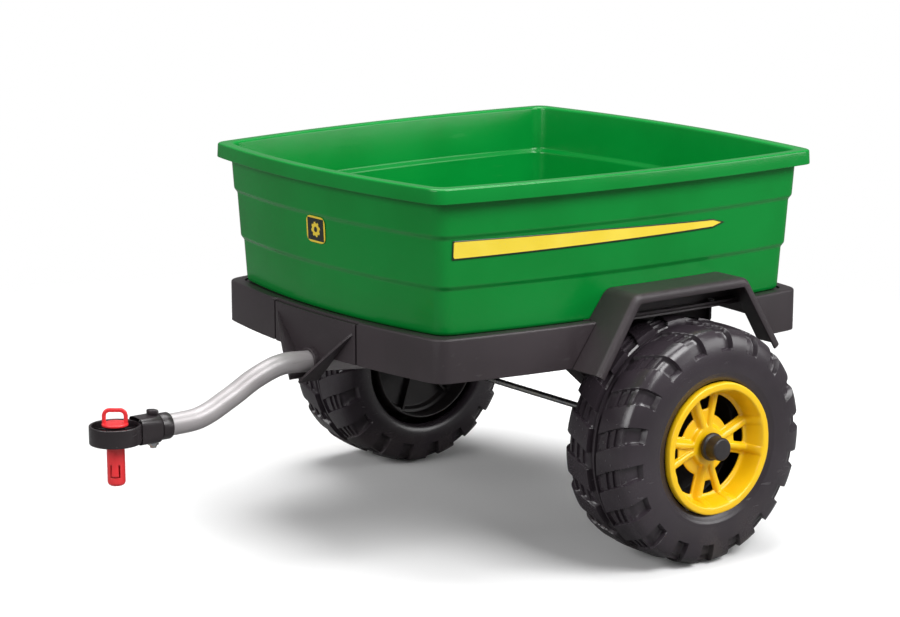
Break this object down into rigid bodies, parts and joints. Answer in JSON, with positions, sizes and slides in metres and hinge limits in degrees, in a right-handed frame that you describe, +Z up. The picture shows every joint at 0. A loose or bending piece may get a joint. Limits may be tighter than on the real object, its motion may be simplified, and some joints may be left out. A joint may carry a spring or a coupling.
{
  "type": "ride-on toy trailer",
  "caption": "Child's ride-on trailer with an open moulded tub, chunky plastic wheels, fenders and a curved drawbar with a pull-out hitch pin.",
  "frame": {"origin": "on the ground under the middle of the whole trailer", "axes": "-Y towards the coupler, +Y to the rear of the tub, +X to the trailer's left wheel seen from behind the coupler, +Z up"},
  "size_m": [0.7, 0.877, 0.463],
  "materials": {
    "tub_green": "glossy moulded green",
    "frame_black": "satin charcoal, fine moulded grain",
    "hitch_black": "satin charcoal",
    "wheel_black": "satin black",
    "tyre": "satin blow-moulded plastic tyre",
    "rim_yellow": "glossy moulded yellow",
    "pin_red": "glossy moulded red",
    "tube_paint": "grey powder coat on steel tube",
    "zinc": "zinc plated",
    "nylon": "natural nylon",
    "sticker": "printed vinyl"
  },
  "bodies": {
    "chassis": {"tub": "tub_green", "frame_tray": "frame_black", "tub_screw_1": "zinc", "tub_screw_2": "zinc", "tub_screw_3": "zinc", "tub_screw_4": "zinc", "hitch_bracket": "hitch_black", "tongue_tube": "tube_paint", "tongue_clamp": "hitch_black", "coupler": "hitch_black", "coupler_bolt": "zinc", "coupler_nut": "zinc", "front_badge": "sticker", "axle_rod": "zinc", "fender_left": "frame_black", "axle_hanger_left": "frame_black", "side_stripe_left": "sticker", "wheel_washer_left": "zinc", "wheel_cap_left": "wheel_black", "fender_screw_left_1": "zinc", "fender_screw_left_2": "zinc", "hanger_screw_left_1": "zinc", "hanger_screw_left_2": "zinc", "fender_right": "frame_black", "axle_hanger_right": "frame_black", "side_stripe_right": "sticker", "wheel_washer_right": "zinc", "wheel_cap_right": "wheel_black", "fender_screw_right_1": "zinc", "fender_screw_right_2": "zinc", "hanger_screw_right_1": "zinc", "hanger_screw_right_2": "zinc", "clamp_screw_1": "zinc", "clamp_screw_2": "zinc"},
    "wheel_left": {"wheel_tyre_left": "tyre", "wheel_rim_left": "rim_yellow", "wheel_core_left": "wheel_black", "wheel_bush_outer_left": "nylon", "wheel_bush_inner_left": "nylon"},
    "wheel_right": {"wheel_tyre_right": "tyre", "wheel_rim_right": "rim_yellow", "wheel_core_right": "wheel_black", "wheel_bush_outer_right": "nylon", "wheel_bush_inner_right": "nylon"},
    "pin": {"hitch_pin": "pin_red"},
    "knob": {"wing_knob": "hitch_black"}
  },
  "joints": [
    {"name": "wheel_left_spin", "type": "hinge", "parent": "chassis", "child": "wheel_left", "pos_m": [0.282, 0.1925, 0.1425], "axis": [1, 0, 0], "continuous": true},
    {"name": "wheel_right_spin", "type": "hinge", "parent": "chassis", "child": "wheel_right", "pos_m": [-0.282, 0.1925, 0.1425], "axis": [1, 0, 0], "continuous": true},
    {"name": "hitch_pin_pull", "type": "slide", "parent": "chassis", "child": "pin", "axis": [0, 0, 1], "range_m": [0, 0.085]},
    {"name": "wing_knob_turn", "type": "hinge", "parent": "chassis", "child": "knob", "pos_m": [0, -0.3605, 0.203], "axis": [0, 0, 1], "continuous": true}
  ]
}
